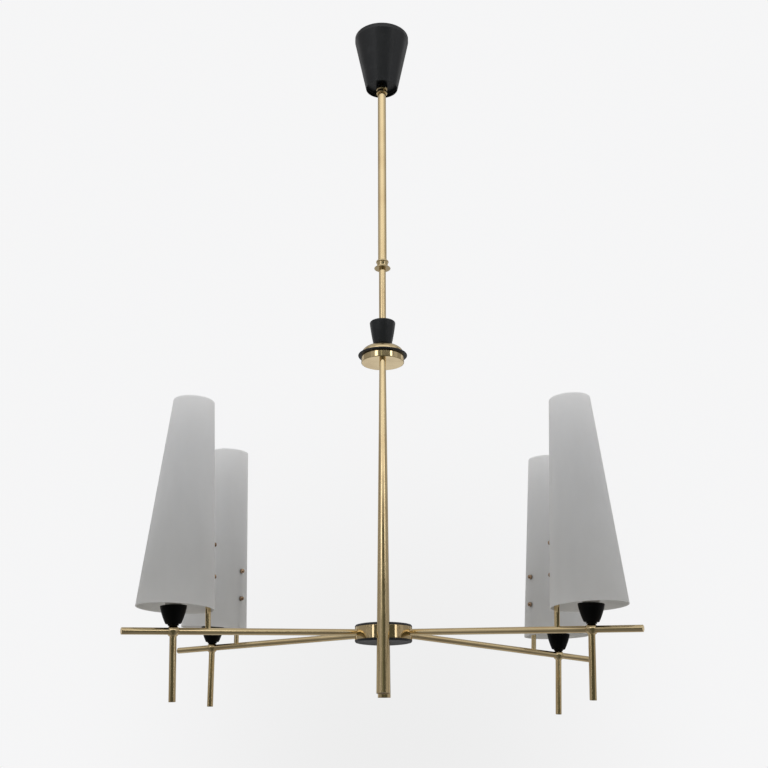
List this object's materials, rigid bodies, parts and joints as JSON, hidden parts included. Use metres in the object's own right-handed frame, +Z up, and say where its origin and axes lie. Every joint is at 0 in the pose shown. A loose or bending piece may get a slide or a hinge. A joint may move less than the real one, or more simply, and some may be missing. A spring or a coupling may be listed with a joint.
{
  "type": "multi arm chandelier",
  "caption": "Hanging lamp with a telescopic stem, a cage of tapered columns and slender arms that carry leaning conical glass shades above black cups.",
  "frame": {"origin": "middle of the ceiling plate's upper face, on the ceiling", "axes": "+Z up, -Z down the stem; +X to the right and -Y to the front, with one column in front of the stem and one behind it"},
  "size_m": [0.7281, 0.4544, 1.2243],
  "materials": {
    "polished_brass": "polished",
    "aged_brass": "aged",
    "black_lacquer": "satin black lacquer",
    "black_cup": "matt black lacquer",
    "opal_glass": "satin opal",
    "zinc_steel": "zinc plated",
    "lamp_holder_plastic": "moulded",
    "terminal_plastic": "moulded"
  },
  "bodies": {
    "ceiling": {"ceiling_plate": "zinc_steel", "ceiling_hook": "zinc_steel", "terminal_block": "terminal_plastic"},
    "link": {"hanging_link": "zinc_steel"},
    "stem": {"hanging_eye": "aged_brass", "neck_tube": "aged_brass", "neck_nut": "aged_brass", "stem_outer_tube": "polished_brass", "stem_top_plug": "aged_brass", "stem_collar": "polished_brass"},
    "canopy": {"canopy_shell": "black_lacquer", "canopy_spacer": "black_lacquer", "canopy_ring": "polished_brass"},
    "thumb_screw": {"canopy_thumb_screw": "polished_brass"},
    "clamp_screw": {"stem_clamp_screw": "zinc_steel"},
    "bush": {"guide_bush": "aged_brass"},
    "lamp": {"stem_inner_tube": "polished_brass", "bush_clip": "zinc_steel", "stem_cone": "black_lacquer", "drum_dome": "polished_brass", "drum_ring": "black_lacquer", "drum_cup": "polished_brass", "drum_nut": "zinc_steel", "column_front": "polished_brass", "column_back": "polished_brass", "column_top_nuts": "zinc_steel", "column_end_caps": "aged_brass", "hub_band": "polished_brass", "hub_top_cap": "black_lacquer", "hub_bottom_cap": "black_lacquer", "hub_tie_rod": "zinc_steel", "hub_nipples": "zinc_steel", "arm_nuts": "zinc_steel", "arm_front_right": "polished_brass", "arm_back_right": "polished_brass", "arm_back_left": "polished_brass", "arm_front_left": "polished_brass", "ball_front_right": "polished_brass", "ball_back_right": "polished_brass", "ball_back_left": "polished_brass", "ball_front_left": "polished_brass", "drop_rod_front_right": "polished_brass", "drop_rod_back_right": "polished_brass", "drop_rod_back_left": "polished_brass", "drop_rod_front_left": "polished_brass", "cup_front_right": "black_cup", "cup_back_right": "black_cup", "cup_back_left": "black_cup", "cup_front_left": "black_cup", "socket_front_right": "lamp_holder_plastic", "socket_back_right": "lamp_holder_plastic", "socket_back_left": "lamp_holder_plastic", "socket_front_left": "lamp_holder_plastic", "shade_front_right": "opal_glass", "shade_back_right": "opal_glass", "shade_back_left": "opal_glass", "shade_front_left": "opal_glass", "shade_posts": "polished_brass", "shade_screws": "polished_brass", "socket_nipples": "aged_brass"}
  },
  "joints": [
    {"name": "sway_front_back", "type": "hinge", "parent": "ceiling", "child": "link", "pos_m": [0, 0, -0.032], "axis": [1, 0, 0], "range_deg": [-3, 3]},
    {"name": "sway_left_right", "type": "hinge", "parent": "link", "child": "stem", "pos_m": [0, 0, -0.0432], "axis": [0, 1, 0], "range_deg": [-3, 3]},
    {"name": "canopy_slide", "type": "slide", "parent": "stem", "child": "canopy", "axis": [0, 0, 1], "range_m": [-0.335, 0]},
    {"name": "canopy_screw_turn", "type": "hinge", "parent": "canopy", "child": "thumb_screw", "pos_m": [0, 0, -0.1195], "axis": [0.5299, -0.848, 0], "range_deg": [0, 720]},
    {"name": "clamp_screw_turn", "type": "hinge", "parent": "stem", "child": "clamp_screw", "pos_m": [0, 0, -0.4676], "axis": [0.2079, -0.9781, 0], "range_deg": [0, 720]},
    {"name": "stem_height", "type": "slide", "parent": "stem", "child": "bush", "axis": [0, 0, 1], "range_m": [-0.177, 0.097]},
    {"name": "lamp_turn", "type": "hinge", "parent": "bush", "child": "lamp", "pos_m": [0, 0, -0.28], "axis": [0, 0, 1], "range_deg": [-180, 180]}
  ]
}
